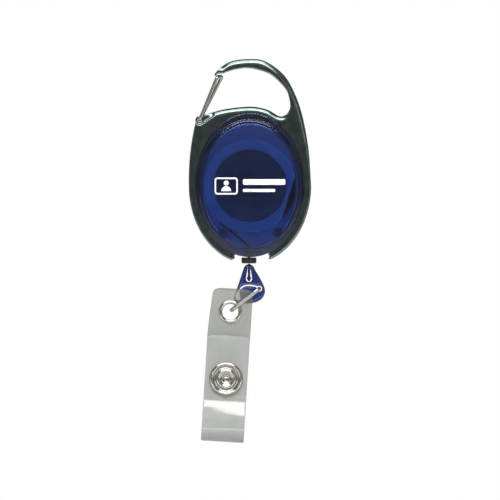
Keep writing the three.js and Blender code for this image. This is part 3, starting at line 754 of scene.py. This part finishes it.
def hardware():
    front, back = STRAP_Y - STRAP_T / 2, STRAP_Y + STRAP_T / 2
    eye = [(2.35, front - 0.15), (2.6, front - 0.42), (2.95, front - 0.48), (3.3, front - 0.35), (3.5, front - 0.05),
           (2.5, front - 0.05), (2.5, back + 0.35), (3.0, back + 0.4), (2.9, back + 0.6), (2.35, back + 0.5)]
    piece(new_object("eyelet", turned(fillet(eye, 0.14)), IN_STRAP), "strap", "nickel", NICKEL, "strap_eyelet")
    washer = [(2.6, back + 0.05), (3.45, back + 0.05), (3.3, back + 0.28), (2.6, back + 0.3)]
    piece(new_object("washer", turned(fillet(washer, 0.07)), IN_STRAP), "strap", "nickel", NICKEL, "eyelet_washer")
    seat = FLAP_Y - STRAP_T / 2 - 0.05
    cap = [(0, seat - 0.1), (0.75, seat - 0.15), (1.0, seat - 0.55), (1.7, seat - 0.45), (2.05, seat - 0.8),
           (2.5, seat - 0.9), (2.9, seat - 0.7), (3.15, seat - 0.35), (3.6, seat - 0.3), (3.85, seat - 0.75),
           (4.25, seat - 1.0), (4.7, seat - 0.85), (4.95, seat - 0.4), (4.85, seat), (1.2, seat),
           (1.2, seat + 0.7), (0, seat + 0.7)]
    piece(new_object("cap", turned(fillet(cap, 0.2), 0, SNAP_Z), IN_STRAP), "flap", "nickel", NICKEL, "snap_cap")
    seat = FLAP_Y + STRAP_T / 2 + 0.05
    socket = [(2.15, seat), (4.6, seat), (4.6, seat + 0.9), (4.1, seat + 1.5), (2.3, seat + 1.5), (2.15, seat + 1.3)]
    piece(new_object("socket", turned(fillet(socket, 0.15), 0, SNAP_Z), IN_STRAP), "flap", "nickel", NICKEL,
          "snap_socket")
    seat = front - 0.05
    stud = [(1.3, seat), (4.2, seat), (4.2, seat - 0.3), (2.1, seat - 0.4), (1.8, seat - 1.1), (2.0, seat - 1.6),
            (1.8, seat - 1.95), (1.3, seat - 1.95)]
    piece(new_object("stud", turned(fillet(stud, 0.12), 0, SNAP_Z), IN_STRAP), "strap", "nickel", NICKEL, "snap_stud")
    seat = back + 0.05
    post = [(0, seat + 0.75), (3.0, seat + 0.7), (4.3, seat + 0.5), (4.7, seat + 0.15), (4.6, seat),
            (1.2, seat), (1.2, seat - 1.6), (0, seat - 1.6)]
    piece(new_object("post", turned(fillet(post, 0.15), 0, SNAP_Z), IN_STRAP), "strap", "nickel", NICKEL, "snap_post")


# ---------------------------------------------------------------- studio

def studio():
    scene = bpy.context.scene
    scene.view_settings.view_transform = "Standard"
    camera = bpy.data.objects.new("camera", bpy.data.cameras.new("camera"))
    scene.collection.objects.link(camera)
    camera.data.type, camera.data.ortho_scale = "ORTHO", 0.147
    camera.data.clip_end = 10
    camera.location, camera.rotation_euler = (0, -0.6, -0.0534), (rad(90), 0, 0)
    scene.camera = camera

    world = bpy.data.worlds.new("studio")
    scene.world = world
    world.use_nodes = True
    nodes, links = world.node_tree.nodes, world.node_tree.links
    background = nodes["Background"]
    place = nodes.new("ShaderNodeTexCoord")
    parts = nodes.new("ShaderNodeSeparateXYZ")
    links.new(place.outputs["Generated"], parts.inputs[0])

    def span(source, a, b, low, high):
        n = nodes.new("ShaderNodeMapRange")
        n.interpolation_type = "SMOOTHSTEP"
        for key, value in (("From Min", a), ("From Max", b), ("To Min", low), ("To Max", high)):
            n.inputs[key].default_value = value
        links.new(source, n.inputs["Value"])
        return n.outputs["Result"]

    def maths(kind, a, b):
        n = nodes.new("ShaderNodeMath")
        n.operation = kind
        for k, v in enumerate((a, b)):
            if isinstance(v, (int, float)):
                n.inputs[k].default_value = v
            else:
                links.new(v, n.inputs[k])
        return n.outputs[0]

    # a white wall straight behind the object, a wide soft light overhead, dim walls elsewhere, and a lighter
    # band a little above the camera, for the sheen on the upper part of the case's face
    ahead = span(parts.outputs["Y"], -0.95, -0.72, 0.155, 0.26)
    band = maths("MULTIPLY", span(parts.outputs["Z"], 0.03, 0.10, 0.0, 0.5),
                 span(parts.outputs["Z"], 0.16, 0.26, 1.0, 0.0))
    ahead = maths("ADD", ahead, maths("MULTIPLY", band, span(parts.outputs["Y"], -0.96, -0.90, 1.0, 0.0)))
    high = span(parts.outputs["Z"], 0.55, 0.68, 0.0, 4.2)
    middle = span(maths("ABSOLUTE", parts.outputs["X"], 0.0), 0.30, 0.55, 1.0, 0.10)
    near = span(parts.outputs["Y"], 0.0, 0.3, 1.0, 0.06)
    overhead = maths("MULTIPLY", maths("MULTIPLY", high, middle), near)
    behind = span(parts.outputs["Y"], 0.86, 0.93, 0.0, 1.0)
    room = maths("MAXIMUM", ahead, overhead)
    rest = maths("MULTIPLY", room, maths("SUBTRACT", 1.0, behind))
    links.new(maths("ADD", rest, behind), background.inputs["Strength"])
    background.inputs["Color"].default_value = (1, 1, 1, 1)

    floor = new_object("floor", prism(arc(0, 0, 900, 0, 355, 71), 0, 2), Matrix.Rotation(rad(90), 4, "X"), 180)
    floor.location.z = -0.142
    floor.data.materials.append(finish_of("floor", (0.62, 0.62, 0.61), 0.7, 0.0, 0.01, 20, 0.02, 300))

    def lamp(name, size, energy, place, aim):
        light = bpy.data.lights.new(name, "AREA")
        light.shape, light.size, light.size_y, light.energy = "RECTANGLE", size[0], size[1], energy
        o = bpy.data.objects.new(name, light)
        o.location = place
        o.rotation_euler = (Vector(aim) - Vector(place)).to_track_quat("-Z", "Y").to_euler()
        scene.collection.objects.link(o)

    lamp("key", (0.42, 0.11), 1.1, (-0.03, -0.37, 0.24), (0, 0, -0.07))
    lamp("low", (0.30, 0.010), 0.06, (0, -0.22, -0.131), (0, 0, -0.107))
    lamp("fill", (0.08, 0.40), 0.18, (0.36, -0.36, -0.03), (0, 0, -0.06))
    lamp("kick", (0.08, 0.40), 0.15, (-0.38, -0.34, -0.05), (0, 0, -0.06))


studio()
carabiner()
shell(-1)
shell(1)
pictogram()
reel()
cord()
drop()
wires()
strap()
hardware()
